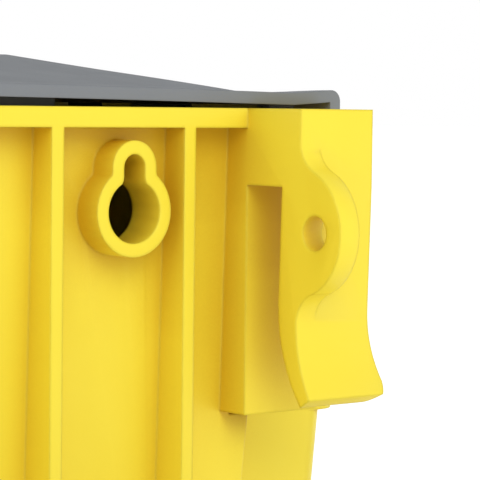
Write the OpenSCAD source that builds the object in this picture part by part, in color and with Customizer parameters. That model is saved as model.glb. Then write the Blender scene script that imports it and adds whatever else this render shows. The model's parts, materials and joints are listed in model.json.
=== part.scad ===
// Float-valve poultry waterer: a moulded body that hangs from a tube by two hooks,
// a hipped lid over the float chamber, a float valve fed by a garden hose, and a drain plug.
// Millimetres, +Z up, +Y towards the wall or rail. The origin is the middle of the base.

/* [Body] */
// Height of the body from the floor to the top rim
body_h = 150; // [132:1:190]
// Width over the float chamber's top rim
chamber_w = 349; // [290:1:420]
// Front-to-back depth of the float chamber at the top
chamber_d = 82; // [74:1:110]
// Depth of the open trough in front of the float chamber
trough_d = 94; // [70:1:130]
// Reach of the basin past the chamber's rim on each side
basin_reach = 28; // [16:1:40]
// Height of the basin's lip above the floor
basin_h = 74; // [56:1:80]
// Distance from the back panel forward to the basin's rear wall
basin_step = 18; // [12:1:30]
// Wall thickness of the moulding
wall_t = 3; // [2.4:0.2:4]
// Floor thickness of the moulding
floor_t = 3; // [2.4:0.2:5]
// Lean of the chamber's side walls in degrees
side_draft = 4.4; // [2:0.2:6]
// Lean of the back panel in degrees
back_draft = 1.8; // [0.6:0.2:3]
// Lean of the basin's walls in degrees
basin_draft = 6; // [3:0.5:9]
// Radius of the basin's front corners
basin_r = 32; // [16:1:40]
// Radius of the basin's back corners
basin_back_r = 8; // [5:1:12]
// Radius of the chamber's front corners
chamber_r = 4; // [2:0.5:6]
// Radius of the chamber's back corners
back_r = 1; // [0.5:0.5:3]

/* [Rims and ribs] */
// Height of the chamber's top rim
rim_h = 4.8; // [4:0.2:8]
// Distance that the rim and the ribs stand out from the panel
rim_proud = 7.4; // [5:0.2:10]
// Radius of the rim's front corners
rim_r = 6; // [3:0.5:8]
// Radius of the rim's back corners
rim_back_r = 1; // [0.5:0.5:3]
// Number of ribs on the back panel
rib_count = 8; // [4:2:8]
// Rib thickness
rib_t = 3.4; // [2.4:0.2:5]
// Distance from a hook's inner side to the nearest rib's middle
rib_margin = 17.6; // [14:0.2:20]
// Height of the basin's lip
lip_h = 4; // [3:0.5:7]
// Distance that the lip stands out from the basin's wall
lip_proud = 4; // [3:0.5:7]

/* [Hooks] */
// Diameter of the tube that the hooks hang on
bar_d = 12; // [10:0.5:16]
// Gap on each side of the tube in a hook
bar_clear = 0.6; // [0.3:0.1:1.5]
// Depth of the tube's axis below the top rim
bar_drop = 28.6; // [24:0.2:40]
// Height of the notch's roof above the tube's axis
notch_rise = 9.9; // [9:0.1:14]
// Width of a hook
hook_w = 22.9; // [18:0.1:30]
// Thickness of the hook's outer leg
leg_t = 6.7; // [5:0.1:9]
// Drop of the hook's outer leg below the tube's axis
leg_drop = 42.5; // [34:0.5:50]
// Lean of the outer leg towards the body in degrees
leg_lean = 1.7; // [0:0.1:2]
// Depth below the tube's axis where the leg starts to flare out
flare_drop = 18.5; // [14:0.5:24]
// Radius of the flare's inner face
flare_in_r = 38; // [34:1:50]
// Radius of the flare's outer face
flare_out_r = 36; // [32:1:48]
// Extra depth below the flare's start where the outer face starts to curve
flare_lag = 3.5; // [1:0.5:6]
// Height of the foot's outer edge above its inner edge
foot_step = 2; // [1:0.5:3]
// Widening of the outer leg's foot
leg_splay = 2; // [0:0.2:4]
// Rounding of the outer leg's lower outside corner
leg_corner_r = 5; // [2:0.5:8]
// Drop of the hook's back boss below the tube's axis
boss_drop = 46.6; // [40:0.2:54]
// Wall round the hollow of the back boss
boss_wall = 3; // [2.4:0.2:4]

/* [Hook ears] */
// Radius of the ear beside the outer leg
ear_r = 15.6; // [13:0.2:18]
// Thickness of the ear
ear_t = 6; // [4:0.2:8]
// Diameter of the hole in the ear
ear_hole_d = 8.4; // [5:0.2:8.6]
// Distance of the hole's middle from the leg's outer face
ear_hole_out = 5.3; // [4.9:0.1:6]
// Distance of the ear's middle inside the leg's outer face
ear_in = 1; // [0:0.5:2]
// Distance of the ear's middle below the tube's axis
ear_low = 0.7; // [0:0.1:3]
// Radius of the fillets that blend the ear into the leg
ear_fillet_r = 8; // [4:0.5:10]

/* [Keyholes] */
// Distance from a hook's inner side to a keyhole's middle
keyhole_inset = 34; // [32:0.5:36]
// Diameter of the keyhole's round part
keyhole_d = 15; // [12:0.5:16]
// Width of the keyhole's slot
keyhole_slot_w = 6.2; // [4:0.2:7]
// Height from the round part's middle to the slot's top
keyhole_rise = 13.6; // [12:0.2:16]
// Height of the round part's middle above the tube's axis
keyhole_up = 4; // [2:0.5:4]
// Radius of the fillets between the round part and the slot
keyhole_fillet_r = 3; // [2:0.5:4]
// Wall round the keyhole
keyhole_wall = 3.2; // [2.4:0.2:4]

/* [Water ports] */
// Number of ports through the foot of the chamber's front wall
port_count = 3; // [2:1:4]
// Width of a port
port_w = 26; // [16:1:32]
// Height of a port
port_h = 13; // [8:1:16]

/* [Lid] */
// Thickness of the lid's sheet
lid_t = 3; // [2:0.2:4]
// Height of the pads that the lid rests on
lid_gap = 0.9; // [0.6:0.1:2]
// Length of a pad, along the rim
pad_l = 8; // [5:1:12]
// Width of a pad, across the rim
pad_w = 5; // [3:0.5:6]
// Gap between the chamber's rim and the lid's skirt
lid_clear = 3.7; // [2:0.1:5]
// Thickness of the lid's skirt
skirt_t = 3.3; // [2:0.1:4]
// Depth of the lid's skirt below the sheet
skirt_h = 11; // [8:0.5:16]
// Rise of the lid's ridge above its flat edge
ridge_rise = 8.7; // [6:0.1:14]
// Flat margin of the lid at each side
margin_side = 32; // [20:1:40]
// Flat margin of the lid at the front
margin_front = 8; // [4:1:14]
// Flat margin of the lid at the back
margin_back = 2; // [1:0.5:10]
// Width of the lid's flat ridge
ridge_w = 1; // [0.5:0.5:4]
// Distance from the end of the lid's raised part to the end of its ridge
hip_run = 36; // [24:1:50]
// Radius of the lid's long edges
lid_edge_r = 3; // [2:0.2:4]
// Depth of the tabs that keep the lid from sliding
tab_h = 8; // [5:0.5:12]
// Length of a tab
tab_l = 24; // [16:1:30]
// Distance between a side tab and the tabs along the long walls
tab_in = 60; // [40:1:80]
// Thickness of a tab
tab_t = 2; // [1.6:0.1:3]
// Gap between a tab and the chamber's wall
tab_clear = 0.8; // [0.4:0.1:1.5]

/* [Inlet] */
// Height of the valve's axis below the top rim
valve_drop = 42; // [38:1:50]
// Diameter of the flat pad round the inlet hole
pad_d = 36; // [34:1:40]
// Height of the pads above the sloping wall
pad_proud = 2; // [1.6:0.1:3]
// Diameter of the valve's threaded shank
shank_d = 20.6; // [18:0.2:22]
// Gap round the shank in the wall
shank_clear = 0.4; // [0.2:0.1:0.8]
// Thickness of the rubber washer inside the wall
gasket_t = 2; // [1.5:0.5:3]
// Diameter of the rubber washer and of the valve's flange
flange_d = 32; // [30:1:34]
// Thickness of the valve's flange
flange_t = 4; // [3:0.5:6]
// Thickness of the slip washer outside the wall
slip_t = 1.5; // [1:0.5:2]
// Distance of the slip washer's rim inside the rubber washer's rim
slip_in = 0.5; // [0:0.1:1]
// Width across the flats of the lock nut
nut_af = 28; // [26:1:32]
// Thickness of the lock nut
nut_t = 7; // [5:0.5:9]
// Gap between the lock nut and the swivel nut
swivel_gap = 1.5; // [1:0.5:3]
// Outside diameter of the swivel nut
swivel_d = 34; // [32:1:38]
// Length of the swivel nut
swivel_l = 21; // [19:0.5:26]
// Number of grip flutes on the swivel nut
flute_count = 16; // [8:1:20]
// Diameter of a grip flute
flute_d = 3; // [2:0.2:4]
// Distance of a flute's middle outside the swivel nut's face
flute_out = 0.6; // [0.4:0.1:1.2]
// Plain margin at each end of the flutes
flute_margin = 2.5; // [1:0.5:4]
// Diameter of the hose thread inside the swivel nut
hose_thread_d = 27; // [26:0.2:28]
// Thickness of the swivel nut's collar
collar_t = 3.5; // [3:0.5:5]
// Thickness of the retaining ring
ring_t = 1.4; // [1:0.2:2]
// Gap between the swivel nut's collar and the retaining ring
ring_gap = 0.4; // [0.2:0.1:1]
// Depth of the ring's groove in the shank
groove_h = 1.2; // [0.8:0.1:1.6]
// Height of the ring above the shank
ring_proud = 1.5; // [1:0.1:2]
// Width of the split in the ring
ring_split = 3; // [2:0.5:4]
// Length of the shank past the retaining ring
shank_tip = 1.5; // [1:0.5:3]
// Thickness of the hose washer
hose_washer_t = 3; // [2:0.5:4]
// Gap round the hose washer, on the radius
washer_fit = 0.5; // [0.4:0.1:1]
// Distance from the water way to the hose washer's hole
washer_in = 1.5; // [0.5:0.5:2]
// Diameter of the water way through the shank
way_d = 12; // [8:0.5:13]
// Depth of the inlet screen's seat in the shank's mouth
screen_seat = 2; // [1.5:0.1:3]
// Width of the step that the inlet screen sits on
screen_step = 1; // [0.6:0.1:1.5]
// Thickness of the inlet screen
screen_t = 1.2; // [0.8:0.1:1.5]
// Diameter of a hole in the inlet screen
screen_hole_d = 1.4; // [0.8:0.1:1.6]
// Distance between the inlet screen's rings of holes
screen_pitch = 2.1; // [1.8:0.1:2.4]
// Running clearance of turning and sliding fits, on the radius
run_clear = 0.06; // [0.02:0.01:0.1]

/* [Float valve] */
// Length of the valve's barrel
barrel_l = 16; // [14:1:22]
// Diameter of the valve's barrel
barrel_d = 22; // [18:1:24]
// Diameter of the plunger
plunger_d = 9; // [8:0.5:10]
// Outside diameter of the nozzle insert
nozzle_d = 10; // [9:0.5:11]
// Diameter of the nozzle's hole
nozzle_hole_d = 4; // [2:0.5:5]
// Length of the barrel's bore past its flange end
seat_depth = 3; // [2:0.5:5]
// Length of the water outlet under the barrel
outlet_l = 7; // [4:0.5:8]
// Width of the water outlet
outlet_w = 6; // [4:0.5:8]
// Distance from the seat to the water outlet
outlet_in = 1; // [0.5:0.5:2]
// Length of the nozzle insert
nozzle_l = 8; // [6:0.5:9]
// Depth of the seal's pocket in the plunger
seal_pocket = 2; // [1:0.5:3]
// Wall round the seal's pocket
seal_wall = 1.5; // [1:0.1:2]
// Height of the seal above the plunger's end
seal_proud = 0.5; // [0.3:0.1:1]
// Gap between the closed seal and its seat
seal_gap = 0.02; // [0.01:0.01:0.05]
// Length of the plunger past the pivot
plunger_tail = 8; // [6:0.5:9]
// Height of the plunger's axis above the pivot
crank_h = 11; // [10.5:0.5:14]
// Thickness of the crank
crank_t = 2.2; // [1.8:0.2:2.6]
// Width of the crank
crank_w = 5; // [4:0.5:6]
// Radius of the crank's tip
crank_tip_r = 1.7; // [1.4:0.1:2]
// Play of the crank's tip in the plunger's slot, on each side
crank_play = 0.5; // [0.4:0.1:0.8]
// Gap over the crank's tip in the plunger's slot
crank_head = 0.9; // [0.6:0.1:1.2]
// Swing of the float arm in degrees
float_swing = 20; // [10:1:24]
// Diameter of the pivot pin
pin_d = 4; // [3:0.5:5]
// Length of the pivot pin past the cheek on its clip's side
pin_tail = 3; // [2:0.5:5]
// Thickness of the pivot pin's head
pin_head_t = 1.5; // [1:0.5:3]
// Reach of the pin's head past the pin
pin_head_over = 1.5; // [1:0.5:2]
// Gap between the cheek and the pin's clip
clip_gap = 0.4; // [0.2:0.1:0.6]
// Thickness of the pin's clip
clip_t = 1; // [0.6:0.1:1.2]
// Depth of the clip's groove in the pin
clip_groove = 0.5; // [0.3:0.1:0.8]
// Reach of the clip past the pin
clip_over = 2.5; // [1.5:0.5:3]
// Width of the clip's mouth
clip_mouth = 2.4; // [1.6:0.2:2.6]
// Thickness of each cheek that carries the pivot pin
cheek_t = 3.5; // [3:0.5:5]
// Height of the cheeks above the plunger
cheek_over = 2; // [1:0.5:4]
// Length of the cheeks' roots along the barrel
cheek_root = 4; // [3:0.5:6]
// Distance from the barrel's end to the pivot
pivot_gap = 11; // [9:0.5:14]
// Reach of the cheeks past the pivot
cheek_reach = 7.5; // [7:0.5:9]
// Thickness of the web that stops the arm
stop_t = 2.4; // [2:0.2:4]
// Gap between the lowered arm and its stop
stop_gap = 0.3; // [0.3:0.1:0.6]
// Width of the arm's hub
hub_w = 14; // [12:0.5:16]
// Diameter of the arm's hub
hub_d = 10.6; // [8:0.2:10.6]
// Side gap between the arm's hub and each cheek
hub_gap = 0.4; // [0.3:0.1:1]
// Distance from the pivot to the float's middle
arm_l = 78; // [60:1:90]
// Depth of the clamp screw's axis below the pivot when the float is level
arm_drop = 20; // [14:1:26]
// Depth of the float's middle below the pivot when the float is level
float_low = 43; // [40:1:46]
// Length of the float
float_l = 64; // [50:1:72]
// Width of the float
float_w = 46; // [36:1:54]
// Height of the float
float_h = 26; // [20:1:30]
// Radius of the float's upright corners
float_r = 7; // [4:0.5:10]
// Depth of the float arm
arm_h = 8; // [6:0.5:10]
// Thickness of the float arm
arm_t = 6; // [5:0.5:7]
// Diameter of the eye at the arm's end
eye_d = 14; // [12:1:16]
// Thickness of the float's slotted lug
lug_t = 3; // [2:0.5:4]
// Width of the float's lug
lug_w = 16; // [14:1:20]
// Height of the lug above the clamp screw's axis
lug_over = 10; // [8:1:12]
// Length of the lug's slot above and below the clamp screw
lug_slot = 3; // [1:0.5:4]
// Gap round the clamp screw in the lug, on the radius
lug_fit = 0.25; // [0.1:0.05:0.5]
// Wall thickness of the float
float_wall = 1.6; // [1.2:0.2:2.4]
// Diameter of the clamp screw
clamp_d = 5; // [4:0.5:6]
// Length of the clamp screw past the lug
clamp_tail = 8; // [6:1:12]
// Gap between the knob and the arm
knob_gap = 0.2; // [0.1:0.1:0.4]
// Diameter of the clamp screw's knob
knob_d = 15; // [12:1:18]
// Height of the clamp screw's knob
knob_h = 6; // [4:0.5:8]
// Number of grip flutes on the knob
knob_flutes = 8; // [5:1:10]
// Diameter of a flute on the knob
knob_flute_d = 4; // [2:0.5:5]
// Distance of a flute's middle outside the knob's rim
knob_flute_out = 0.8; // [0.4:0.1:1.5]
// Thickness of the knob's plain collar
knob_collar = 2; // [1:0.5:3]
// Width across the flats of the clamp nut
clamp_nut_af = 9; // [8:0.5:11]
// Thickness of the clamp nut
clamp_nut_t = 4; // [3:0.5:5]

/* [Drain] */
// Distance from the basin's front to the drain's middle
drain_in = 65.8; // [50:0.2:68]
// Diameter of the drain hole
drain_d = 18; // [14:1:22]
// Height of the drain's pad above the inside floor
drain_rise = 1.6; // [1.2:0.2:5]
// Diameter of the drain plug's head
drain_head_d = 27; // [24:1:30]
// Margin of the drain's pad round the plug's head
drain_pad_margin = 0.5; // [0.5:0.5:2]
// Thickness of the drain washer
drain_seal_t = 2; // [1.5:0.5:3]
// Distance of the drain washer's rim inside the head's rim
drain_seal_in = 0.5; // [0.2:0.1:1]
// Thickness of the drain plug's head
drain_head_t = 4; // [3:0.5:6]
// Gap round the drain plug's stem, on the radius
drain_fit = 0.08; // [0.04:0.02:0.1]
// Wall of the drain plug's hollow stem
drain_stem_wall = 2.4; // [1.6:0.2:3]
// Reach of the drain plug's stem past the inside pad
drain_stem_out = 2; // [1:0.5:4]
// Thickness of the drain plug's face inside the stem
drain_face_t = 1; // [1:0.2:2]
// Width of the drain plug's grip
drain_grip_w = 21; // [16:1:22]
// Thickness of the drain plug's grip
drain_grip_t = 4; // [3:0.5:6]
// Length of the drain plug's grip
drain_grip = 9; // [7:1:14]

/* [Hidden] */
$fn = 64;
eps = 0.01;
cut = 1;
base_d = chamber_d + trough_d;
back_y = base_d / 2;
front_y = -base_d / 2;
rib_y = back_y + rim_proud;
// depth that ribs, bosses and holes reach into the moulding, where the hollow trims them
root = 8;
// depth that the legs and the ears run into what they stand on
leg_root = 2;
ear_skin = 1.5;
boss_depth = rim_proud + 2 * boss_wall;
divider_y = back_y - chamber_d;
wall_x = chamber_w / 2 - rim_proud;
basin_x = chamber_w / 2 + basin_reach;
basin_back_y = back_y - basin_step;
bar_y = rib_y + bar_d / 2 + bar_clear;
bar_z = body_h - bar_drop;
hook_in = chamber_w / 2 - hook_w;
leg_in = bar_d / 2 + bar_clear;
leg_out = leg_in + leg_t;
rib_pitch = 2 * (hook_in - rib_margin) / (rib_count - 1);
keyhole_x = hook_in - keyhole_inset;
keyhole_z = bar_z + keyhole_up;
lid_x = chamber_w / 2 + lid_clear + skirt_t;
lid_front = divider_y - rim_proud - lid_clear - skirt_t;
lid_z = body_h + lid_gap;
lid_mid_y = (lid_front + margin_front + rib_y - margin_back) / 2;
valve_y = back_y - chamber_d / 2;
valve_z = body_h - valve_drop;
wall_at_valve = wall_x - valve_drop * tan(side_draft);
pad_out = wall_at_valve + pad_proud;
pad_in = wall_at_valve - wall_t - pad_proud;
flange_x = pad_in - gasket_t;
barrel_x = flange_x - flange_t;
seat_x = barrel_x - seat_depth;
barrel_end = barrel_x - barrel_l;
swivel_x = pad_out + slip_t + nut_t + swivel_gap;
ring_x = swivel_x + collar_t + ring_gap;
shank_end = ring_x + ring_t + shank_tip;
pivot_x = barrel_end - pivot_gap;
pivot_z = valve_z - crank_h;
plunger_travel = 2 * crank_h * sin(float_swing / 2);
plunger_face = seat_x - plunger_travel - seal_proud - seal_gap;
plunger_l = plunger_face - pivot_x + plunger_tail;
crank_tip_x = pivot_x - crank_h * sin(float_swing / 2);
cheek_in = hub_w / 2 + hub_gap;
cheek_end = pivot_x - cheek_reach;
clip_y = valve_y + cheek_in + cheek_t + clip_gap;
arm_rise = atan2(arm_drop, arm_l);
arm_run = sqrt(arm_l * arm_l + arm_drop * arm_drop);
// height of the lowered arm's underside at the cheeks' end, less the gap
low_angle = arm_rise + float_swing;
stop_z = pivot_z - stop_gap - (arm_h / 2) * cos(low_angle)
    - (cheek_reach + (arm_h / 2) * sin(low_angle)) * tan(low_angle);
drain_y = front_y + drain_in;
drain_pad_d = drain_head_d + 2 * drain_pad_margin;
drain_z = floor_t + drain_rise + drain_pad_d / 2;
drain_wall = basin_x - (basin_h - drain_z) * tan(basin_draft);
drain_out = drain_wall + pad_proud;

// Corner points of a rounded rectangle from x0 to x1 and y0 to y1, anticlockwise
function round_box(x0, x1, y0, y1, rf, rb) = [
    for (a = [180:10:270]) [x0 + rf + rf * cos(a), y0 + rf + rf * sin(a)],
    for (a = [270:10:360]) [x1 - rf + rf * cos(a), y0 + rf + rf * sin(a)],
    for (a = [0:15:90]) [x1 - rb + rb * cos(a), y1 - rb + rb * sin(a)],
    for (a = [90:15:180]) [x0 + rb + rb * cos(a), y1 - rb + rb * sin(a)]
];

// A solid with leaning sides from z0 to z1: half width hx, front y0 and back y1 at the height top
module leaning_box(z0, z1, hx, y0, y1, rf, rb, side_lean, front_lean, back_lean, top) {
    rings = [
        for (z = [z0, z1])
            let (side = (top - z) * tan(side_lean), front = (top - z) * tan(front_lean),
                back = (top - z) * tan(back_lean))
                [for (p = round_box(-hx + side, hx - side, y0 + front, y1 - back, rf, rb)) [p.x, p.y, z]]
    ];
    n = len(rings[0]);
    polyhedron(
        points = concat(rings[0], rings[1]),
        faces = concat(
            [[for (i = [0:n - 1]) i]],
            [[for (i = [n - 1:-1:0]) n + i]],
            [for (i = [0:n - 1]) [i, n + i, n + (i + 1) % n, (i + 1) % n]]
        )
    );
}

// Cylinder along +X from x0 to x1
module along_x(x0, x1, d, y, z) {
    translate([x0, y, z])
        rotate([0, 90, 0])
            cylinder(d = d, h = x1 - x0);
}

// Cylinder along +Y from y0 to y1
module along_y(y0, y1, d, x, z) {
    translate([x, y1, z])
        rotate([90, 0, 0])
            cylinder(d = d, h = y1 - y0);
}

// Chamber outline grown or shrunk by a wall, from z0 up to z1
module chamber_block(z0, z1, inset) {
    leaning_box(z0, z1, wall_x - inset, divider_y + inset, back_y - inset,
        max(chamber_r - inset, 1), back_r, side_draft, 0, back_draft, body_h);
}

// Basin outline shrunk by a wall, from z0 up to z1
module basin_block(z0, z1, inset) {
    leaning_box(z0, z1, basin_x - inset, front_y + inset, basin_back_y - inset,
        basin_r - inset, basin_back_r - inset, basin_draft, basin_draft, 0, basin_h);
}

// Rolled lip round the top of the basin
module basin_lip() {
    translate([0, 0, basin_h - lip_h])
        linear_extrude(lip_h)
            polygon(round_box(-basin_x - lip_proud, basin_x + lip_proud, front_y - lip_proud, basin_back_y,
                basin_r + lip_proud, basin_back_r));
}

// Top rim that runs round the chamber
module chamber_rim() {
    translate([0, 0, body_h - rim_h])
        linear_extrude(rim_h)
            polygon(round_box(-chamber_w / 2, chamber_w / 2, divider_y - rim_proud, rib_y, rim_r,
                rim_back_r));
}

// Upright ribs on the back panel, from the rim to the floor
module back_ribs() {
    for (i = [0:rib_count - 1])
        translate([(i - (rib_count - 1) / 2) * rib_pitch - rib_t / 2, back_y - wall_t - root, 0])
            cube([rib_t, rim_proud + wall_t + root, body_h - eps]);
}

// Outline of a keyhole grown by g: a circle, and a round-topped slot with fillets at its foot
module keyhole_2d(g) {
    r = keyhole_d / 2 + g;
    s = keyhole_slot_w / 2 + g;
    top = keyhole_rise - keyhole_slot_w / 2;
    f = keyhole_fillet_r - g / 4;
    // the fillets run a little way into the circle, so that the outlines cross cleanly
    foot = r - 0.2;
    fy = sqrt(pow(foot + f, 2) - pow(s + f, 2));
    a = atan2(fy, s + f);
    half = concat(
        [for (i = [0:5]) [s + f - f * cos(a * (1 - i / 5)), fy - f * sin(a * (1 - i / 5))]],
        [for (t = [0:10:90]) [s * cos(t), top + s * sin(t)]]
    );
    circle(r);
    polygon(concat([[0, 0]], half, [for (i = [len(half) - 2:-1:0]) [-half[i].x, half[i].y]]));
}

// Keyhole shape pushed along Y from y0 to y1
module keyhole_prism(g, y0, y1) {
    translate([0, y1, keyhole_z])
        rotate([90, 0, 0])
            linear_extrude(y1 - y0)
                keyhole_2d(g);
}

// Side view of the outer leg about the tube's axis: x is outwards, y is up
module leg_2d() {
    lean = tan(leg_lean);
    in1 = leg_in - (flare_drop + notch_rise) * lean;
    out1 = leg_out - (flare_drop + flare_lag + notch_rise) * lean;
    a_in = asin((leg_drop - flare_drop) / flare_in_r);
    a_out = asin((leg_drop - foot_step - flare_drop - flare_lag) / flare_out_r);
    polygon([
        [leg_in, notch_rise + leg_root],
        [leg_in, notch_rise],
        for (i = [0:8])
            [in1 + flare_in_r * (1 - cos(a_in * i / 8)), -flare_drop - flare_in_r * sin(a_in * i / 8)],
        for (i = [8:-1:0]) [out1 + flare_out_r * (1 - cos(a_out * i / 8)),
            -flare_drop - flare_lag - flare_out_r * sin(a_out * i / 8)],
        [leg_out, notch_rise],
        [leg_out, notch_rise + leg_root]
    ]);
}

// Side view of the ear about the tube's axis, blended into the leg above and below
module ear_2d() {
    // the fillets end a little way inside the leg, so that the outlines cross cleanly
    sunk = 0.15;
    c = leg_out - ear_in;
    top_x = leg_out + ear_fillet_r - sunk;
    low_x = top_x - (flare_drop + notch_rise) * tan(leg_lean);
    top_rise = sqrt(pow(ear_r + ear_fillet_r, 2) - pow(top_x - c, 2));
    low_rise = sqrt(pow(ear_r + ear_fillet_r, 2) - pow(low_x - c, 2));
    span = ear_r + 2 * ear_fillet_r;
    difference() {
        union() {
            translate([c, -ear_low])
                circle(ear_r);
            translate([c - leg_root, -ear_low - low_rise])
                square([ear_fillet_r, low_rise + top_rise]);
        }
        translate([top_x, top_rise - ear_low])
            circle(ear_fillet_r);
        translate([low_x, -low_rise - ear_low])
            circle(ear_fillet_r);
        // the ear stays behind the leg's inner face
        translate([leg_in + ear_skin - 2 * span, -span])
            square([2 * span, 2 * span]);
    }
}

// One hook, drawn on the +X side, hanging on the tube's axis
module hook() {
    translate([hook_in, bar_y, bar_z])
        rotate([90, 0, 90]) {
            // top block and back boss
            linear_extrude(hook_w)
                polygon([
                    [-leg_in - boss_depth, bar_drop], [leg_out, bar_drop], [leg_out, notch_rise],
                    [-leg_in, notch_rise], [-leg_in, -boss_drop], [-leg_in - boss_depth, -boss_drop]
                ]);
            // outer leg with one rounded corner
            intersection() {
                linear_extrude(hook_w + leg_splay)
                    leg_2d();
                rotate([90, 0, 90])
                    linear_extrude(2 * leg_drop)
                        leg_front_2d();
            }
            linear_extrude(ear_t)
                ear_2d();
        }
}

// Front view of the outer leg about the tube's axis: x is up, y is along the hook's width
module leg_front_2d() {
    r = leg_corner_r;
    foot = leg_drop - r - flare_drop;
    polygon([
        [notch_rise + leg_root + cut, 0],
        [-leg_drop, 0],
        for (a = [180:-10:90]) [-leg_drop + r + r * cos(a), hook_w + leg_splay - r + r * sin(a)],
        for (t = [0.875:-0.125:0]) [-flare_drop - t * foot, hook_w + leg_splay * t * t],
        [notch_rise + leg_root + cut, hook_w]
    ]);
}

// Hollow of the back boss, open below, and the hole through the ear
module hook_cuts() {
    depth = boss_depth - 2 * boss_wall;
    translate([hook_in + boss_wall, rib_y - boss_wall - depth, bar_z - boss_drop - cut])
        cube([hook_w - 2 * boss_wall, depth, boss_drop + cut]);
    translate([hook_in - cut, bar_y + leg_out + ear_hole_out, bar_z - ear_low])
        rotate([0, 90, 0])
            cylinder(d = ear_hole_d, h = ear_t + 2 * cut);
}

// Row of ports through the foot of the chamber's front wall
module water_ports() {
    pitch = 2 * (wall_x - body_h * tan(side_draft)) / (port_count + 1);
    for (i = [0:port_count - 1])
        translate([(i - (port_count - 1) / 2) * pitch - port_w / 2, divider_y - cut, floor_t])
            cube([port_w, wall_t + 2 * cut, port_h]);
}

// The yellow moulding: chamber, basin, ribs, keyhole bosses and hooks in one piece
module body() {
    color([1.0, 0.86, 0.16])
        difference() {
            union() {
                difference() {
                    union() {
                        chamber_block(0, body_h, 0);
                        basin_block(0, basin_h, 0);
                        basin_lip();
                        chamber_rim();
                        back_ribs();
                        for (side = [0, 1])
                            mirror([side, 0, 0]) {
                                hook();
                                translate([keyhole_x, 0, 0])
                                    keyhole_prism(keyhole_wall, back_y - wall_t - root, rib_y);
                            }
                    }
                    difference() {
                        basin_block(floor_t, basin_h + cut, wall_t);
                        chamber_block(0, body_h, 0);
                    }
                    chamber_block(floor_t, body_h + cut, wall_t);
                }
                along_x(pad_in, pad_out, pad_d, valve_y, valve_z);
                along_x(-drain_out, -drain_out + wall_t + 2 * pad_proud, drain_pad_d, drain_y, drain_z);
            }
            for (side = [0, 1])
                mirror([side, 0, 0]) {
                    hook_cuts();
                    translate([keyhole_x, 0, 0])
                        keyhole_prism(0, back_y - wall_t - root, rib_y + cut);
                }
            water_ports();
            along_x(pad_in - cut, pad_out + cut, shank_d + 2 * shank_clear, valve_y, valve_z);
            along_x(-drain_out - cut, -drain_out + wall_t + 2 * pad_proud + cut, drain_d, drain_y, drain_z);
        }
}

// Raised part of the lid, lowered by drop
module lid_roof(drop) {
    hull() {
        translate([-lid_x + margin_side, lid_front + margin_front, lid_z + lid_t - eps - drop])
            cube([2 * (lid_x - margin_side), rib_y - margin_back - lid_front - margin_front, eps]);
        translate([-lid_x + margin_side + hip_run, lid_mid_y - ridge_w / 2,
            lid_z + lid_t + ridge_rise - eps - drop])
            cube([2 * (lid_x - margin_side - hip_run), ridge_w, eps]);
    }
}

// Side view of the lid's edge and skirt, from the skirt's outer face inwards
module skirt_2d(reach) {
    difference() {
        union() {
            translate([lid_edge_r, 0])
                square([reach - lid_edge_r, lid_t]);
            translate([lid_edge_r, lid_t - lid_edge_r])
                circle(lid_edge_r);
            translate([0, -skirt_h])
                square([skirt_t, skirt_h + lid_t - lid_edge_r]);
        }
        translate([skirt_t, -skirt_h - cut])
            square([reach, skirt_h + cut]);
    }
}

// The grey lid: a hipped sheet with a skirt on three sides and a plain edge at the back
module lid() {
    color([0.45, 0.47, 0.49]) {
        difference() {
            union() {
                intersection() {
                    translate([-lid_x, lid_front, lid_z - skirt_h])
                        cube([2 * lid_x, rib_y - lid_front, skirt_h + lid_t]);
                    lid_edges();
                }
                lid_roof(0);
            }
            lid_roof(lid_t);
        }
        lid_pads();
        lid_tabs();
    }
}

// Flat sheet with rounded side and front edges, and its skirts
module lid_edges() {
    intersection() {
        translate([0, rib_y, lid_z])
            rotate([90, 0, 0])
                linear_extrude(rib_y - lid_front) {
                    for (side = [0, 1])
                        mirror([side, 0])
                            translate([-lid_x, 0])
                                skirt_2d(lid_x + eps);
                }
        translate([-lid_x, 0, lid_z])
            rotate([90, 0, 90])
                linear_extrude(2 * lid_x)
                    front_edge_2d();
    }
    intersection() {
        translate([-lid_x, 0, lid_z])
            rotate([90, 0, 90])
                linear_extrude(2 * lid_x)
                    translate([lid_front, 0])
                        skirt_2d(rib_y - lid_front);
        translate([-lid_x, lid_front, lid_z - skirt_h - cut])
            cube([2 * lid_x, skirt_t, skirt_h + cut]);
    }
}

// Side view of the whole lid's envelope with the front edge rounded
module front_edge_2d() {
    translate([lid_front + lid_edge_r, -skirt_h])
        square([rib_y - lid_front - lid_edge_r, skirt_h + lid_t]);
    translate([lid_front, -skirt_h])
        square([lid_edge_r + eps, skirt_h + lid_t - lid_edge_r]);
    translate([lid_front + lid_edge_r, lid_t - lid_edge_r])
        circle(lid_edge_r);
}

// Rise of the lid's raised part at y, away from its ends
function roof_rise(y) = ridge_rise * max(0, min(
    (y - lid_front - margin_front) / (lid_mid_y - lid_front - margin_front),
    (rib_y - margin_back - y) / (rib_y - margin_back - lid_mid_y)));

// Pads under the sheet that rest on the rim's corners
module lid_pads() {
    for (x = [-1, 1], y = [divider_y, back_y])
        translate([x * (chamber_w / 2 - pad_l) - pad_l / 2, y - pad_w / 2, body_h])
            cube([pad_l, pad_w, lid_gap + lid_t / 2]);
}

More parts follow.
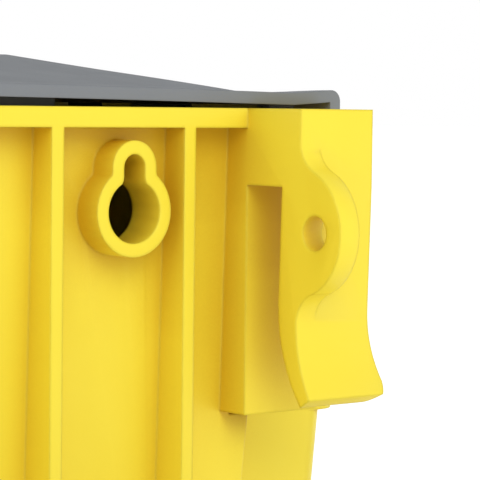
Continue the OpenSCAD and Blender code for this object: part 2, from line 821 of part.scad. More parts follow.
// Tabs under the sheet that stand just inside the chamber's walls
module lid_tabs() {
    in_x = wall_x - wall_t - tab_clear - tab_h * tan(side_draft);
    in_y = back_y - wall_t - tab_clear - tab_h * tan(back_draft);
    for (side = [0, 1])
        mirror([side, 0, 0]) {
            translate([in_x - tab_t, valve_y - tab_l / 2, body_h - tab_h])
                cube([tab_t, tab_l, tab_h + lid_gap + lid_t / 2]);
            for (y = [divider_y + wall_t + tab_clear, in_y - tab_t])
                translate([in_x - tab_in - tab_l, y, body_h - tab_h])
                    cube([tab_l, tab_t, tab_h + lid_gap + lid_t / 2 + roof_rise(y + tab_t / 2)]);
        }
}

// Valve body: threaded shank, flange, barrel, and two cheeks for the pivot pin
module valve_body() {
    cheek_top = valve_z + plunger_d / 2 + cheek_over;
    cheek_out = cheek_in + cheek_t + cut;
    cheek_low = stop_z - stop_t;
    color([0.90, 0.90, 0.86])
        difference() {
            union() {
                along_x(flange_x - eps, shank_end, shank_d, valve_y, valve_z);
                along_x(barrel_x, flange_x, flange_d, valve_y, valve_z);
                along_x(barrel_end, barrel_x, barrel_d, valve_y, valve_z);
                for (side = [0, 1])
                    translate([0, valve_y, 0])
                        mirror([0, side, 0])
                            translate([cheek_end, cheek_in, cheek_low])
                                cube([barrel_end + cheek_root - cheek_end, cheek_t, cheek_top - cheek_low]);
                // stop web that the arm comes down on
                translate([cheek_end, valve_y - cheek_in - eps, cheek_low])
                    cube([cheek_t, 2 * (cheek_in + eps), stop_t]);
            }
            along_x(seat_x + nozzle_l, shank_end + cut, way_d, valve_y, valve_z);
            along_x(seat_x, seat_x + nozzle_l + cut, nozzle_d, valve_y, valve_z);
            along_x(barrel_end - cut, seat_x + eps, plunger_d + 2 * run_clear, valve_y, valve_z);
            along_x(shank_end - screen_seat, shank_end + cut, way_d + 2 * screen_step, valve_y, valve_z);
            // groove for the retaining ring
            difference() {
                along_x(ring_x, ring_x + ring_t, shank_d + 2 * cut, valve_y, valve_z);
                along_x(ring_x - cut, ring_x + ring_t + cut, shank_d - 2 * groove_h, valve_y, valve_z);
            }
            // water outlet under the barrel
            translate([seat_x - outlet_in - outlet_l, valve_y - outlet_w / 2, valve_z - barrel_d])
                cube([outlet_l, outlet_w, barrel_d]);
            // clearance round the hub between the cheeks
            translate([cheek_end - cut, valve_y - cheek_in, stop_z])
                cube([barrel_end - cheek_end + cut, 2 * cheek_in, cheek_top]);
            along_y(valve_y - cheek_out, valve_y + cheek_out, pin_d + 2 * run_clear, pivot_x, pivot_z);
        }
}

// Brass nozzle that the plunger's seal closes on
module nozzle_insert() {
    color([0.80, 0.62, 0.30])
        difference() {
            along_x(seat_x, seat_x + nozzle_l, nozzle_d, valve_y, valve_z);
            along_x(seat_x - cut, seat_x + nozzle_l + cut, nozzle_hole_d, valve_y, valve_z);
        }
}

// Flat ring along X
module ring_x_axis(x0, x1, outer_d, inner_d) {
    difference() {
        along_x(x0, x1, outer_d, valve_y, valve_z);
        along_x(x0 - cut, x1 + cut, inner_d, valve_y, valve_z);
    }
}

// Rubber washer between the valve's flange and the wall
module inner_gasket() {
    color([0.08, 0.08, 0.08])
        ring_x_axis(flange_x, pad_in, flange_d, shank_d);
}

// Thin plastic washer under the lock nut
module slip_washer() {
    color([0.85, 0.85, 0.82])
        ring_x_axis(pad_out, pad_out + slip_t, flange_d - 2 * slip_in, shank_d);
}

// Hexagonal lock nut
module lock_nut() {
    color([0.20, 0.21, 0.22])
        difference() {
            translate([pad_out + slip_t, valve_y, valve_z])
                rotate([0, 90, 0])
                    cylinder(d = nut_af / cos(30), h = nut_t, $fn = 6);
            along_x(pad_out, pad_out + slip_t + nut_t + cut, shank_d, valve_y, valve_z);
        }
}

// Hose swivel: collar that turns on the shank, hose thread inside, flutes outside
module swivel_nut() {
    color([0.20, 0.21, 0.22])
        difference() {
            along_x(swivel_x, swivel_x + swivel_l, swivel_d, valve_y, valve_z);
            along_x(swivel_x - cut, swivel_x + collar_t + cut, shank_d + 2 * run_clear, valve_y, valve_z);
            along_x(swivel_x + collar_t, shank_end + hose_washer_t + eps, hose_thread_d - washer_fit, valve_y,
                valve_z);
            along_x(shank_end + hose_washer_t, swivel_x + swivel_l + cut, hose_thread_d, valve_y, valve_z);
            for (i = [0:flute_count - 1])
                translate([0, valve_y, valve_z])
                    rotate([i * 360 / flute_count, 0, 0])
                        along_x(swivel_x + flute_margin, swivel_x + swivel_l - flute_margin, flute_d, 0,
                            swivel_d / 2 + flute_out);
        }
}

// Split ring that keeps the swivel nut on the shank
module retaining_ring() {
    color([0.72, 0.73, 0.75])
        difference() {
            ring_x_axis(ring_x, ring_x + ring_t, shank_d + 2 * ring_proud, shank_d - 2 * groove_h);
            translate([ring_x - cut, valve_y - ring_split / 2, valve_z])
                cube([ring_t + 2 * cut, ring_split, shank_d]);
        }
}

// Rubber washer that seals the hose against the shank's end
module hose_washer() {
    color([0.08, 0.08, 0.08])
        ring_x_axis(shank_end, shank_end + hose_washer_t, hose_thread_d - 2 * washer_fit,
            way_d + 2 * washer_in);
}

// Perforated screen that sits in the shank's mouth
module inlet_screen() {
    color([0.72, 0.73, 0.75])
        difference() {
            along_x(shank_end - screen_seat, shank_end - screen_seat + screen_t, way_d + 2 * screen_step,
                valve_y, valve_z);
            for (ring = [0:2], k = [0:max(ring * 6 - 1, 0)])
                translate([0, valve_y, valve_z])
                    rotate([k * 360 / max(ring * 6, 1), 0, 0])
                        along_x(shank_end - screen_seat - cut, shank_end, screen_hole_d, 0,
                            ring * screen_pitch);
        }
}

// Plunger that slides in the barrel, with a pocket for its seal and a slot for the arm
module plunger() {
    color([0.92, 0.92, 0.90])
        difference() {
            along_x(plunger_face - plunger_l, plunger_face, plunger_d, valve_y, valve_z);
            along_x(plunger_face - seal_pocket, plunger_face + cut, plunger_d - 2 * seal_wall, valve_y,
                valve_z);
            translate([crank_tip_x - crank_tip_r - crank_play, valve_y - plunger_d, valve_z - plunger_d])
                cube([2 * (crank_tip_r + crank_play), 2 * plunger_d, plunger_d + crank_tip_r + crank_head]);
        }
}

// Soft disc in the end of the plunger
module plunger_seal() {
    color([0.08, 0.08, 0.08])
        along_x(plunger_face - seal_pocket, plunger_face + seal_proud, plunger_d - 2 * seal_wall, valve_y,
            valve_z);
}

// Turns children from the level pose down to the rest pose about the pivot
module at_rest() {
    translate([pivot_x, valve_y, pivot_z])
        rotate([0, -float_swing, 0])
            children();
}

// Bell crank: hub on the pivot, short crank up to the plunger, long arm to the float
module float_arm() {
    lean = float_swing / 2;
    color([0.30, 0.31, 0.33])
        at_rest()
            difference() {
                union() {
                    rotate([90, 0, 0])
                        translate([0, 0, -hub_w / 2])
                            cylinder(d = hub_d, h = hub_w);
                    // crank
                    rotate([0, lean, 0]) {
                        translate([-crank_t / 2, -crank_w / 2, 0])
                            cube([crank_t, crank_w, crank_h]);
                        translate([0, crank_w / 2, crank_h])
                            rotate([90, 0, 0])
                                cylinder(r = crank_tip_r, h = crank_w);
                    }
                    // long arm
                    rotate([0, -arm_rise, 0])
                        translate([-arm_run, -arm_t / 2, -arm_h / 2])
                            cube([arm_run, arm_t, arm_h]);
                    translate([-arm_l, arm_t / 2, -arm_drop])
                        rotate([90, 0, 0])
                            cylinder(d = eye_d, h = arm_t);
                }
                rotate([90, 0, 0])
                    translate([0, 0, -hub_w])
                        cylinder(d = pin_d + 2 * run_clear, h = 2 * hub_w);
                translate([-arm_l, hub_w, -arm_drop])
                    rotate([90, 0, 0])
                        cylinder(d = clamp_d + 2 * run_clear, h = 2 * hub_w);
            }
}

// Steel pivot pin with a head
module pivot_pin() {
    end = cheek_in + cheek_t;
    color([0.72, 0.73, 0.75])
        difference() {
            union() {
                along_y(valve_y - end, valve_y + end + pin_tail, pin_d, pivot_x, pivot_z);
                along_y(valve_y - end - pin_head_t, valve_y - end, pin_d + 2 * pin_head_over, pivot_x,
                    pivot_z);
            }
            difference() {
                along_y(clip_y, clip_y + clip_t, pin_d + 2 * cut, pivot_x, pivot_z);
                along_y(clip_y - cut, clip_y + clip_t + cut, pin_d - 2 * clip_groove, pivot_x, pivot_z);
            }
        }
}

// Open clip in the pin's groove
module pin_clip() {
    color([0.50, 0.51, 0.53])
        difference() {
            along_y(clip_y, clip_y + clip_t, pin_d + 2 * clip_over, pivot_x, pivot_z);
            along_y(clip_y - cut, clip_y + clip_t + cut, pin_d - 2 * clip_groove, pivot_x, pivot_z);
            translate([pivot_x - clip_mouth / 2, clip_y - cut, pivot_z - 2 * pin_d])
                cube([clip_mouth, clip_t + 2 * cut, 2 * pin_d]);
        }
}

// A box with rounded upright corners, centred on x and y
module soft_block(l, w, z0, z1, r) {
    translate([0, 0, z0])
        linear_extrude(z1 - z0)
            polygon(round_box(-l / 2, l / 2, -w / 2, w / 2, r, r));
}

// Hollow float with a slotted lug that the clamp screw holds
module float_shell() {
    top = -float_low + float_h / 2;
    slot_d = clamp_d + 2 * lug_fit;
    lug_out = arm_t / 2 + lug_t + cut;
    color([0.93, 0.93, 0.90])
        at_rest()
            difference() {
                union() {
                    translate([-arm_l, 0, 0])
                        soft_block(float_l, float_w, -float_low - float_h / 2 + float_wall, top, float_r);
                    translate([-arm_l - lug_w / 2, arm_t / 2, top - float_wall])
                        cube([lug_w, lug_t, lug_over - arm_drop - top + float_wall]);
                }
                translate([-arm_l, 0, 0])
                    soft_block(float_l - 2 * float_wall, float_w - 2 * float_wall,
                        -float_low - float_h / 2 - cut, top - float_wall, float_r - float_wall);
                for (end = [-1, 1])
                    translate([-arm_l, lug_out, end * lug_slot - arm_drop])
                        rotate([90, 0, 0])
                            cylinder(d = slot_d, h = lug_out);
                translate([-arm_l - slot_d / 2, 0, -arm_drop - lug_slot])
                    cube([slot_d, lug_out, 2 * lug_slot]);
            }
}

// Bottom plate welded to the float
module float_cap() {
    color([0.88, 0.88, 0.85])
        at_rest()
            translate([-arm_l, 0, 0])
                soft_block(float_l, float_w, -float_low - float_h / 2, -float_low - float_h / 2 + float_wall,
                    float_r);
}

// Thumb screw that clamps the float's lug to the arm
module clamp_screw() {
    knob_z = -arm_t / 2 - knob_gap;
    color([0.10, 0.10, 0.11])
        at_rest()
            translate([-arm_l, 0, -arm_drop])
                rotate([-90, 0, 0]) {
                    translate([0, 0, knob_z])
                        cylinder(d = clamp_d, h = arm_t + lug_t + knob_gap + clamp_tail);
                    difference() {
                        translate([0, 0, knob_z - knob_h])
                            cylinder(d = knob_d, h = knob_h);
                        for (i = [0:knob_flutes - 1])
                            rotate([0, 0, i * 360 / knob_flutes])
                                translate([knob_d / 2 + knob_flute_out, 0, knob_z - knob_h - cut])
                                    cylinder(d = knob_flute_d, h = knob_h - knob_collar + cut);
                    }
                }
}

// Nut on the clamp screw
module clamp_nut() {
    color([0.72, 0.73, 0.75])
        at_rest()
            translate([-arm_l, arm_t / 2 + lug_t, -arm_drop])
                rotate([-90, 0, 0])
                    difference() {
                        cylinder(d = clamp_nut_af / cos(30), h = clamp_nut_t, $fn = 6);
                        translate([0, 0, -cut])
                            cylinder(d = clamp_d + 2 * run_clear, h = clamp_nut_t + 2 * cut);
                    }
}

// Push-in drain plug with a flat grip
module drain_plug() {
    face = -drain_out - drain_seal_t;
    stem_end = -drain_out + wall_t + 2 * pad_proud + drain_stem_out;
    stem_d = drain_d - 2 * drain_fit;
    color([0.20, 0.21, 0.22])
        difference() {
            union() {
                along_x(face, stem_end, stem_d, drain_y, drain_z);
                along_x(face - drain_head_t, face, drain_head_d, drain_y, drain_z);
                translate([face - drain_head_t - drain_grip, drain_y - drain_grip_w / 2,
                    drain_z - drain_grip_t / 2])
                    cube([drain_grip + eps, drain_grip_w, drain_grip_t]);
            }
            along_x(face + drain_face_t, stem_end + cut, stem_d - 2 * drain_stem_wall, drain_y, drain_z);
        }
}

// Rubber washer under the drain plug's head
module drain_seal() {
    color([0.08, 0.08, 0.08])
        difference() {
            along_x(-drain_out - drain_seal_t, -drain_out, drain_head_d - 2 * drain_seal_in, drain_y,
                drain_z);
            along_x(-drain_out - drain_seal_t - cut, -drain_out + cut, drain_d - 2 * drain_fit, drain_y,
                drain_z);
        }
}

body();
lid();
valve_body();
nozzle_insert();
inner_gasket();
slip_washer();
lock_nut();
swivel_nut();
retaining_ring();
hose_washer();
inlet_screen();
plunger();
plunger_seal();
float_arm();
pivot_pin();
pin_clip();
float_shell();
float_cap();
clamp_screw();
clamp_nut();
drain_plug();
drain_seal();
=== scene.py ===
import json
import math

import bmesh
import bpy
from mathutils import Matrix, Vector


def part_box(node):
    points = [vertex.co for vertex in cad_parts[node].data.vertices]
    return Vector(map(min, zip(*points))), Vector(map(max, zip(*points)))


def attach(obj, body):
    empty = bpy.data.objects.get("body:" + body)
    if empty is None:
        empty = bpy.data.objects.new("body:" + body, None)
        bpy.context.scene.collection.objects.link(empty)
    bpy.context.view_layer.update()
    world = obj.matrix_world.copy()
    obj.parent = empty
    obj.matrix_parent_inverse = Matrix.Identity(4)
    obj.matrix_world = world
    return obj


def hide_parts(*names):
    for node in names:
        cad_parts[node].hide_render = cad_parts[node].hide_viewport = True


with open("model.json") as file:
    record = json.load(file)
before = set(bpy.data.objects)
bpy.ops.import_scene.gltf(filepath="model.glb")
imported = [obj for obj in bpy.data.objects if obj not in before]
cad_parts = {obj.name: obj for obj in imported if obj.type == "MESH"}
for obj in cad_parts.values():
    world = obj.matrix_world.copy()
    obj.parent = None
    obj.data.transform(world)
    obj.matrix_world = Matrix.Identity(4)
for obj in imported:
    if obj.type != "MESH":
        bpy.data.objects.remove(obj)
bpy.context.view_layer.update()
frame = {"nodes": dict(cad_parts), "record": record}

MM = 0.001
SCENE = bpy.context.scene

# Rounding: bevel widths of the meshes, and the radii that the materials round their edges to
BODY_BEVEL = 0.5 * MM
LID_BEVEL = 0.4 * MM
SMALL_BEVEL = 0.15 * MM
BODY_SOFTNESS = 1.1 * MM
PLASTIC_SOFTNESS = 0.5 * MM
METAL_SOFTNESS = 0.3 * MM
SHARP_ANGLE = math.radians(30)
FLAT_ANGLE = math.radians(0.1)
SEAM = 0.002 * MM

# Alignment of the soft and the plain normal where an edge starts to show and where it shows fully
EDGE_STARTS = 0.99
EDGE_FULL = 0.86

# Painted shade in the plastics' colour under overhangs and in recesses: the distance over which openness to
# the sky is measured, how much the normal is tilted up for it, and the openness below which the painted
# shade is darkest and above which it ends
PAINTED_SHADE_REACH = 24 * MM
PAINTED_SHADE_TILT = 0.6
PAINTED_SHADE_DARKEST = 0.3
PAINTED_SHADE_ENDS = 0.72

# Floor: half its side, its gap to the object, and where its paper stops being grey and is white; the grey
# round the object is a painted shadow
FLOOR_HALF = 12.0
FLOOR_GAP = 0.3 * MM
NEAR_RADIUS = 80 * MM
FAR_RADIUS = 420 * MM

# Lid's bent back edge: strips that bend, the depth that bends, and how far it rises
LID_STRIPS = 48
BACK_STRIPS = 6
BACK_DEPTH = 36 * MM
SEAT_FROM_END = 16 * MM
BOW = 1.5 * MM
CURL = 0.9 * MM

# Hose thread: 11.5 turns to the inch, and the share of its length that runs out at each end
THREAD_PITCH = 25.4 * MM / 11.5
THREAD_DEPTH = 0.9 * MM
THREAD_FOOT = 0.75 * MM
THREAD_CREST = 0.2 * MM
THREAD_SUNK = 0.1 * MM
STEPS_A_TURN = 48
RUN_OUT = 1 / 8

MOUNTS = {m["name"]: Vector(m["pos_m"]) for m in frame["record"]["mounts"]}


# ---------------------------------------------------------------- camera and stage

def photo_camera():
    """Long lens behind the object, on the upper corner by its hook_left mount."""
    yaw = math.radians(39.18)
    pitch = math.radians(3.365)
    roll = math.radians(0.68)
    look = Vector((-math.sin(yaw) * math.cos(pitch), -math.cos(yaw) * math.cos(pitch), -math.sin(pitch)))
    side = look.cross(Vector((0, 0, 1))).normalized()
    up = side.cross(look)
    right = math.cos(roll) * side + math.sin(roll) * up
    top = math.cos(roll) * up - math.sin(roll) * side
    data = bpy.data.cameras.new("photo_camera")
    data.lens = 172.95
    data.sensor_width = 36
    data.clip_start = 0.01
    data.clip_end = 100
    camera = bpy.data.objects.new("photo_camera", data)
    SCENE.collection.objects.link(camera)
    from_hook = Vector((0.36754, 0.42785, 0.02949))
    turn = Matrix((right, top, -look)).transposed().to_4x4()
    camera.matrix_world = Matrix.Translation(MOUNTS["hook_left"] + from_hook) @ turn
    SCENE.camera = camera


def soft_light(name, place, aim, size, power):
    """A square area light at place, turned towards aim."""
    data = bpy.data.lights.new(name, "AREA")
    data.shape = "SQUARE"
    data.size = size
    data.energy = power
    light = bpy.data.objects.new(name, data)
    SCENE.collection.objects.link(light)
    turn = (Vector(aim) - Vector(place)).to_track_quat("-Z", "Y")
    light.matrix_world = Matrix.Translation(place) @ turn.to_matrix().to_4x4()


def sky():
    """Even white studio dome, a little dimmer overhead."""
    world = bpy.data.worlds.new("studio")
    SCENE.world = world
    world.use_nodes = True
    tree = world.node_tree
    tree.nodes.clear()
    out = tree.nodes.new("ShaderNodeOutputWorld")
    back = tree.nodes.new("ShaderNodeBackground")
    coord = tree.nodes.new("ShaderNodeTexCoord")
    split = tree.nodes.new("ShaderNodeSeparateXYZ")
    ramp = tree.nodes.new("ShaderNodeValToRGB")
    level, overhead = ramp.color_ramp.elements
    level.position, level.color = 0.12, (1.0, 1.0, 1.0, 1)
    overhead.position, overhead.color = 0.9, (0.54, 0.55, 0.57, 1)
    tree.links.new(coord.outputs["Generated"], split.inputs[0])
    tree.links.new(split.outputs["Z"], ramp.inputs[0])
    tree.links.new(ramp.outputs[0], back.inputs["Color"])
    tree.links.new(back.outputs[0], out.inputs[0])


def floor():
    """Wide pale floor at the height that the object stands on."""
    mesh = bpy.data.meshes.new("floor")
    corners = [(x * FLOOR_HALF, y * FLOOR_HALF, 0) for x, y in ((-1, -1), (1, -1), (1, 1), (-1, 1))]
    mesh.from_pydata(corners, [], [(0, 1, 2, 3)])
    obj = bpy.data.objects.new("floor", mesh)
    SCENE.collection.objects.link(obj)
    obj.location.z = -FLOOR_GAP
    mesh.materials.append(paper())


# ---------------------------------------------------------------- materials

class Nodes:
    """Short way to add nodes to a material and link them."""

    def __init__(self, name):
        self.material = bpy.data.materials.new(name)
        self.material.use_nodes = True
        self.tree = self.material.node_tree
        self.shader = self.tree.nodes["Principled BSDF"]
        self.point = self.add("ShaderNodeTexCoord").outputs["Object"]

    def add(self, kind, inputs=None, **settings):
        """A new node; each input is a value or another node's output."""
        node = self.tree.nodes.new(kind)
        for key, value in settings.items():
            setattr(node, key, value)
        for key, value in (inputs or {}).items():
            if isinstance(value, bpy.types.NodeSocket):
                self.tree.links.new(value, node.inputs[key])
            else:
                node.inputs[key].default_value = value
        return node

    def noise(self, size, detail=2.0, rough=0.5, stretch=(1, 1, 1)):
        """Noise with features about size metres across, from 0 to 1."""
        point = self.point
        if stretch != (1, 1, 1):
            point = self.add("ShaderNodeMapping", {"Vector": point, "Scale": stretch}).outputs[0]
        node = self.add("ShaderNodeTexNoise",
                        {"Vector": point, "Scale": 1 / size, "Detail": detail, "Roughness": rough})
        return node.outputs["Fac"]

    def spread(self, value, low, high, out_low, out_high):
        """value taken from the range low to high to the range out_low to out_high."""
        node = self.add("ShaderNodeMapRange", {
            "Value": value, "From Min": low, "From Max": high, "To Min": out_low, "To Max": out_high})
        return node.outputs[0]

    def math(self, operation, a, b):
        """a and b joined by a Math node's operation."""
        node = self.add("ShaderNodeMath", operation=operation)
        for i, value in enumerate((a, b)):
            if isinstance(value, bpy.types.NodeSocket):
                self.tree.links.new(value, node.inputs[i])
            else:
                node.inputs[i].default_value = value
        return node.outputs[0]

    def mix(self, factor, a, b):
        """Colour a where factor is 0 and colour b where it is 1."""
        node = self.add("ShaderNodeMix", data_type="RGBA")
        for socket, value in ((node.inputs[0], factor), (node.inputs[6], a), (node.inputs[7], b)):
            if isinstance(value, bpy.types.NodeSocket):
                self.tree.links.new(value, socket)
            else:
                socket.default_value = value
        return node.outputs[2]

    def soft_normal(self, radius):
        """The surface's normal with its edges rounded to radius metres."""
        return self.add("ShaderNodeBevel", {"Radius": radius}, samples=6).outputs[0]

    def edges(self, soft):
        """1 on edges, where the soft normal leaves the plain one, and 0 on flat surfaces."""
        plain = self.add("ShaderNodeNewGeometry").outputs["Normal"]
        dot = self.add("ShaderNodeVectorMath", {0: soft, 1: plain}, operation="DOT_PRODUCT")
        return self.spread(dot.outputs["Value"], EDGE_STARTS, EDGE_FULL, 0.0, 1.0)

    def open_sky(self, reach):
        """How much of the upper side is free within reach metres: 1 in the open, 0 in a closed recess; used
        to paint shade.
        """
        plain = self.add("ShaderNodeNewGeometry").outputs["Normal"]
        tilted = self.add("ShaderNodeVectorMath", {0: plain, 1: (0, 0, PAINTED_SHADE_TILT)}, operation="ADD")
        upward = self.add("ShaderNodeVectorMath", {0: tilted.outputs[0]}, operation="NORMALIZE")
        openness = self.add("ShaderNodeAmbientOcclusion",
                            {"Distance": reach, "Normal": upward.outputs[0]}, samples=8)
        return openness.outputs["AO"]

    def set(self, socket, value):
        """Gives one of the shader's inputs a value or a link."""
        if isinstance(value, bpy.types.NodeSocket):
            self.tree.links.new(value, self.shader.inputs[socket])
        else:
            self.shader.inputs[socket].default_value = value

    def bump(self, height, distance, strength, below=None):
        """A normal bumped by height, over the normal below if there is one."""
        inputs = {"Height": height, "Distance": distance, "Strength": strength}
        if below is not None:
            inputs["Normal"] = below
        return self.add("ShaderNodeBump", inputs).outputs[0]


def rgb(r, g, b):
    """An opaque colour, each part limited to 1."""
    return (min(1.0, r), min(1.0, g), min(1.0, b), 1)


def paper():
    """Matt white paper that glows, with a painted shadow round the object: close round it the paper is
    darker grey and does not glow.
    """
    n = Nodes("floor_paper")
    away = n.add("ShaderNodeVectorMath", {0: n.point}, operation="LENGTH").outputs["Value"]
    # Painted shadow: grey and without glow near the object, white and glowing from FAR_RADIUS out
    past_painted_shadow = n.spread(away, NEAR_RADIUS, FAR_RADIUS, 0.0, 1.0)
    n.set("Base Color", n.mix(past_painted_shadow, rgb(0.5, 0.5, 0.5), rgb(0.86, 0.86, 0.855)))
    n.set("Roughness", 0.9)
    n.set("Specular IOR Level", 0.0)
    n.set("Emission Color", n.mix(past_painted_shadow, rgb(0, 0, 0), rgb(1, 1, 1)))
    n.set("Emission Strength", 0.5)
    return n.material


def moulded(name, colour, tint, rough, grain=0.6 * MM, depth=0.02 * MM, wear=0.12, gloss=0.4,
            translucency=0.0, painted_shade=0.35, softness=PLASTIC_SOFTNESS):
    """Moulded plastic: faint flow marks, fine mould grain, paler rubbed edges, and painted shade that
    darkens the colour in recesses and under overhangs.
    """
    n = Nodes(name)
    flow = n.noise(50 * MM, 3.0, 0.55, (1, 1, 0.35))
    cloud = n.noise(11 * MM, 2.0)
    base = n.mix(n.spread(flow, 0.3, 0.7, 0.0, 0.5), colour, tint)
    base = n.mix(n.spread(cloud, 0.35, 0.7, 0.0, 0.22), base, tint)
    pale = rgb(*(c * 1.12 + 0.015 for c in colour[:3]))
    soft = n.soft_normal(softness)
    scuffs = n.math("MULTIPLY", n.edges(soft), n.spread(n.noise(6 * MM, 4.0), 0.42, 0.62, 0.0, wear * 4))
    base = n.mix(scuffs, base, pale)
    # Painted shade: the colour is darkened towards a shade colour where the sky above is hidden, in recesses
    # and under overhangs
    shade_colour = rgb(*(c * part for c, part in zip(colour, (0.72, 0.56, 0.3))))
    base = n.mix(n.spread(n.open_sky(PAINTED_SHADE_REACH), PAINTED_SHADE_DARKEST, PAINTED_SHADE_ENDS, painted_shade, 0.0), base, shade_colour)
    n.set("Base Color", base)
    fine = n.noise(grain, 2.0, 0.6)
    n.set("Roughness", n.spread(n.math("ADD", fine, cloud), 0.6, 1.4, rough - 0.06, rough + 0.07))
    n.set("Specular IOR Level", gloss)
    ripple = n.bump(n.noise(20 * MM, 1.0), 0.3 * MM, 0.35, soft)
    n.set("Normal", n.bump(fine, depth, 0.5, ripple))
    if translucency:
        n.set("Subsurface Weight", translucency)
        n.set("Subsurface Scale", 2 * MM)
        n.set("Subsurface Radius", (1.0, 0.7, 0.2))
    return n.material


def metal(name, colour, rough, stretch):
    """Turned or stamped metal: fine lines squeezed along stretch, uneven gloss, brighter edges."""
    n = Nodes(name)
    lines = n.noise(0.8 * MM, 3.0, 0.6, stretch)
    stain = n.noise(6 * MM, 3.0)
    dark = rgb(*(c * 0.72 for c in colour[:3]))
    base = n.mix(n.spread(stain, 0.4, 0.7, 0.0, 0.6), colour, dark)
    bright = rgb(*(c * 1.2 for c in colour[:3]))
    rubbed = n.math("MULTIPLY", n.edges(n.soft_normal(METAL_SOFTNESS)), 0.5)
    n.set("Base Color", n.mix(rubbed, base, bright))
    n.set("Metallic", 1.0)
    n.set("Roughness", n.spread(lines, 0.3, 0.7, rough - 0.08, rough + 0.12))
    n.set("Normal", n.bump(lines, 0.01 * MM, 0.4))
    return n.material


def rubber(name):
    """Moulded rubber: matt black with a pale bloom in patches."""
    n = Nodes(name)
    bloom = n.noise(4 * MM, 4.0, 0.6)
    fine = n.noise(0.4 * MM, 2.0)
    black, pale = rgb(0.018, 0.018, 0.019), rgb(0.055, 0.054, 0.052)
    n.set("Base Color", n.mix(n.spread(bloom, 0.45, 0.75, 0.0, 0.5), black, pale))
    n.set("Roughness", n.spread(bloom, 0.3, 0.7, 0.62, 0.82))
    n.set("Normal", n.bump(fine, 0.02 * MM, 0.6))
    return n.material


def finishes():
    """One material for each slot of the record."""
    return {
        # Each moulded finish paints shade into its recesses; the yellow moulding paints the strongest shade
        "yellow_plastic": moulded("yellow_polypropylene", rgb(0.93, 0.752, 0.047),
                                  rgb(0.915, 0.72, 0.043), 0.46, wear=0.1, gloss=0.28, painted_shade=0.95,
                                  softness=BODY_SOFTNESS),
        "grey_plastic": moulded("grey_polypropylene", rgb(0.225, 0.236, 0.246),
                                rgb(0.205, 0.215, 0.225), 0.58, wear=0.15, gloss=0.12),
        "acetal": moulded("white_acetal", rgb(0.80, 0.79, 0.74), rgb(0.74, 0.73, 0.68), 0.38),
        "dark_acetal": moulded("dark_acetal", rgb(0.085, 0.09, 0.098), rgb(0.07, 0.074, 0.08), 0.42),
        "black_nylon": moulded("black_nylon", rgb(0.022, 0.022, 0.024), rgb(0.034, 0.034, 0.036), 0.48,
                               grain=0.4 * MM, depth=0.03 * MM, wear=0.2),
        "float_plastic": moulded("float_polyethylene", rgb(0.82, 0.82, 0.78), rgb(0.76, 0.76, 0.72), 0.5,
                                 translucency=0.25),
        "rubber": rubber("black_rubber"),
        "brass": metal("turned_brass", rgb(0.72, 0.52, 0.22), 0.3, (8, 1, 1)),
        "steel": metal("stainless_steel", rgb(0.58, 0.58, 0.60), 0.32, (1, 1, 6)),
        "spring_steel": metal("spring_steel", rgb(0.36, 0.36, 0.38), 0.4, (1, 1, 6)),
    }


# ---------------------------------------------------------------- meshes

def body_of_node(node):
    """The CAD body that a node rides on."""
    bodies = frame["record"]["behaviour"]["bodies"]
    return next(name for name, nodes in bodies.items() if node in nodes)


def slot_of_node(node):
    """The material slot that the record gives a node."""
    return next(s["material_slot"] for s in frame["record"]["subparts"] if s["node"] == node)


def clean_copy(node):
    """The CAD node's mesh with its seams merged and its flat faces joined."""
    bm = bmesh.new()
    bm.from_mesh(frame["nodes"][node].data)
    bmesh.ops.remove_doubles(bm, verts=bm.verts, dist=SEAM)
    bmesh.ops.dissolve_limit(bm, angle_limit=FLAT_ANGLE, verts=bm.verts, edges=bm.edges)
    return bm


def round_edges(bm, name, width, segments):
    """A mesh object whose sharp edges are rounded, width metres wide or as much as fits."""
    layer = bm.edges.layers.float.new("bevel_weight_edge")
    for edge in bm.edges:
        edge[layer] = 1.0 if len(edge.link_faces) == 2 and sharp(edge) else 0.0
    mesh = bpy.data.meshes.new(name)
    bm.to_mesh(mesh)
    bm.free()
    obj = bpy.data.objects.new(name, mesh)
    SCENE.collection.objects.link(obj)
    bevel = obj.modifiers.new("round", "BEVEL")
    bevel.limit_method = "WEIGHT"
    bevel.width = width
    bevel.segments = segments
    bevel.use_clamp_overlap = True
    bevel.harden_normals = True
    bevel.miter_outer = "MITER_SHARP"
    for polygon in mesh.polygons:
        polygon.use_smooth = True
    graph = bpy.context.evaluated_depsgraph_get()
    final = bpy.data.meshes.new_from_object(obj.evaluated_get(graph))
    final.name = name
    obj.modifiers.clear()
    obj.data = final
    bpy.data.meshes.remove(mesh)
    return obj


def sharp(edge):
    """Whether the edge's two faces meet at more than SHARP_ANGLE."""
    return edge.calc_face_angle(0.0) > SHARP_ANGLE


def dress(obj, node, materials):
    """obj takes the node's place, body and finish."""
    slot = slot_of_node(node)
    obj.data.materials.clear()
    obj.data.materials.append(materials[slot])
    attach(obj, body_of_node(node))
    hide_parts(node)


def body_shell(materials):
    """The yellow moulding with softened edges."""
    dress(round_edges(clean_copy("body"), "body_moulding", BODY_BEVEL, 3), "body", materials)


def smooth(t):
    """0 up to t = 0, 1 from t = 1, and an even curve between."""
    t = min(1.0, max(0.0, t))
    return t * t * (3 - 2 * t)


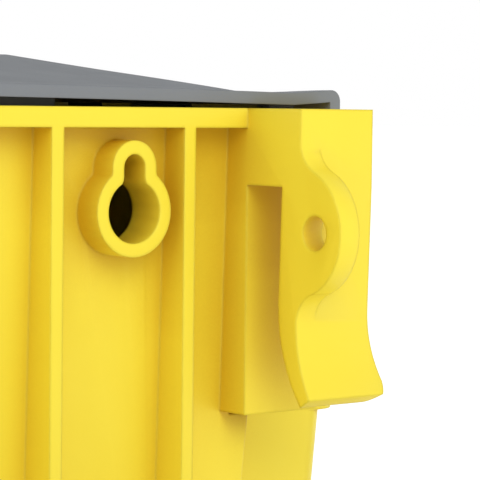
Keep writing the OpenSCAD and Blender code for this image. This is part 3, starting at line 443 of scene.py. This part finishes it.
def lid_shell(materials):
    """The grey lid: its back edge is bowed up in the middle and curls up at its ends."""
    bm = clean_copy("lid")
    low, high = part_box("lid")
    cuts = [((low.x + (high.x - low.x) * i / LID_STRIPS, 0, 0), (1, 0, 0)) for i in range(1, LID_STRIPS)]
    cuts += [((0, high.y - BACK_DEPTH * i / BACK_STRIPS, 0), (0, 1, 0)) for i in range(1, BACK_STRIPS)]
    for point, normal in cuts:
        whole = bm.verts[:] + bm.edges[:] + bm.faces[:]
        bmesh.ops.bisect_plane(bm, geom=whole, plane_co=point, plane_no=normal)
    seat = high.x - SEAT_FROM_END
    for v in bm.verts:
        back = smooth((v.co.y - high.y + BACK_DEPTH) / BACK_DEPTH)
        bow = BOW * max(0.0, 1 - (v.co.x / seat) ** 2)
        curl = CURL * smooth((abs(v.co.x) - seat) / (high.x - seat))
        v.co.z += back * (bow + curl)
    dress(round_edges(bm, "lid_moulding", LID_BEVEL, 3), "lid", materials)


def small_parts(materials):
    """Every other node keeps its shape and gets finely rounded edges."""
    for node in sorted(frame["nodes"]):
        if node not in ("body", "lid"):
            dress(round_edges(clean_copy(node), node + "_piece", SMALL_BEVEL, 2), node, materials)


def mount_size(mount, key):
    """A size of one of the record's mounts, in metres."""
    return next(m["dims"][key] for m in frame["record"]["mounts"] if m["name"] == mount) * MM


def hose_thread(materials):
    """The hose thread's helical ridge inside the swivel nut, run out softly at both ends."""
    middle = MOUNTS["hose_inlet"]
    radius = mount_size("hose_inlet", "r_mm")
    length = mount_size("hose_inlet", "length_mm") - THREAD_PITCH
    turns = length / THREAD_PITCH
    steps = round(STEPS_A_TURN * turns)
    bm = bmesh.new()
    rings = []
    for i in range(steps + 1):
        t = i / steps
        turn = 2 * math.pi * turns * t
        x = middle.x + (t - 0.5) * length
        low = radius + THREAD_SUNK
        high = radius - THREAD_DEPTH * smooth(t / RUN_OUT) * smooth((1 - t) / RUN_OUT)
        profile = ((-THREAD_FOOT, low), (-THREAD_CREST, high), (THREAD_CREST, high), (THREAD_FOOT, low))
        rings.append([bm.verts.new((x + along, middle.y + r * math.cos(turn), middle.z + r * math.sin(turn)))
                      for along, r in profile])
    for a, b in zip(rings, rings[1:]):
        for k in range(4):
            after = (k + 1) % 4
            bm.faces.new((a[k], a[after], b[after], b[k]))
    bm.faces.new(rings[0])
    bm.faces.new(rings[-1])
    bmesh.ops.recalc_face_normals(bm, faces=bm.faces[:])
    mesh = bpy.data.meshes.new("hose_thread")
    bm.to_mesh(mesh)
    bm.free()
    obj = bpy.data.objects.new("hose_thread", mesh)
    SCENE.collection.objects.link(obj)
    slot = slot_of_node("swivel_nut")
    mesh.materials.append(materials[slot])
    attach(obj, body_of_node("swivel_nut"))


photo_camera()
sky()
floor()
soft_light("key", place=(0.6, 1.7, 1.25), aim=(0, 0, 0.1), size=1.1, power=12)
SCENE.view_settings.view_transform = "Standard"
MATERIALS = finishes()
body_shell(MATERIALS)
lid_shell(MATERIALS)
small_parts(MATERIALS)
hose_thread(MATERIALS)
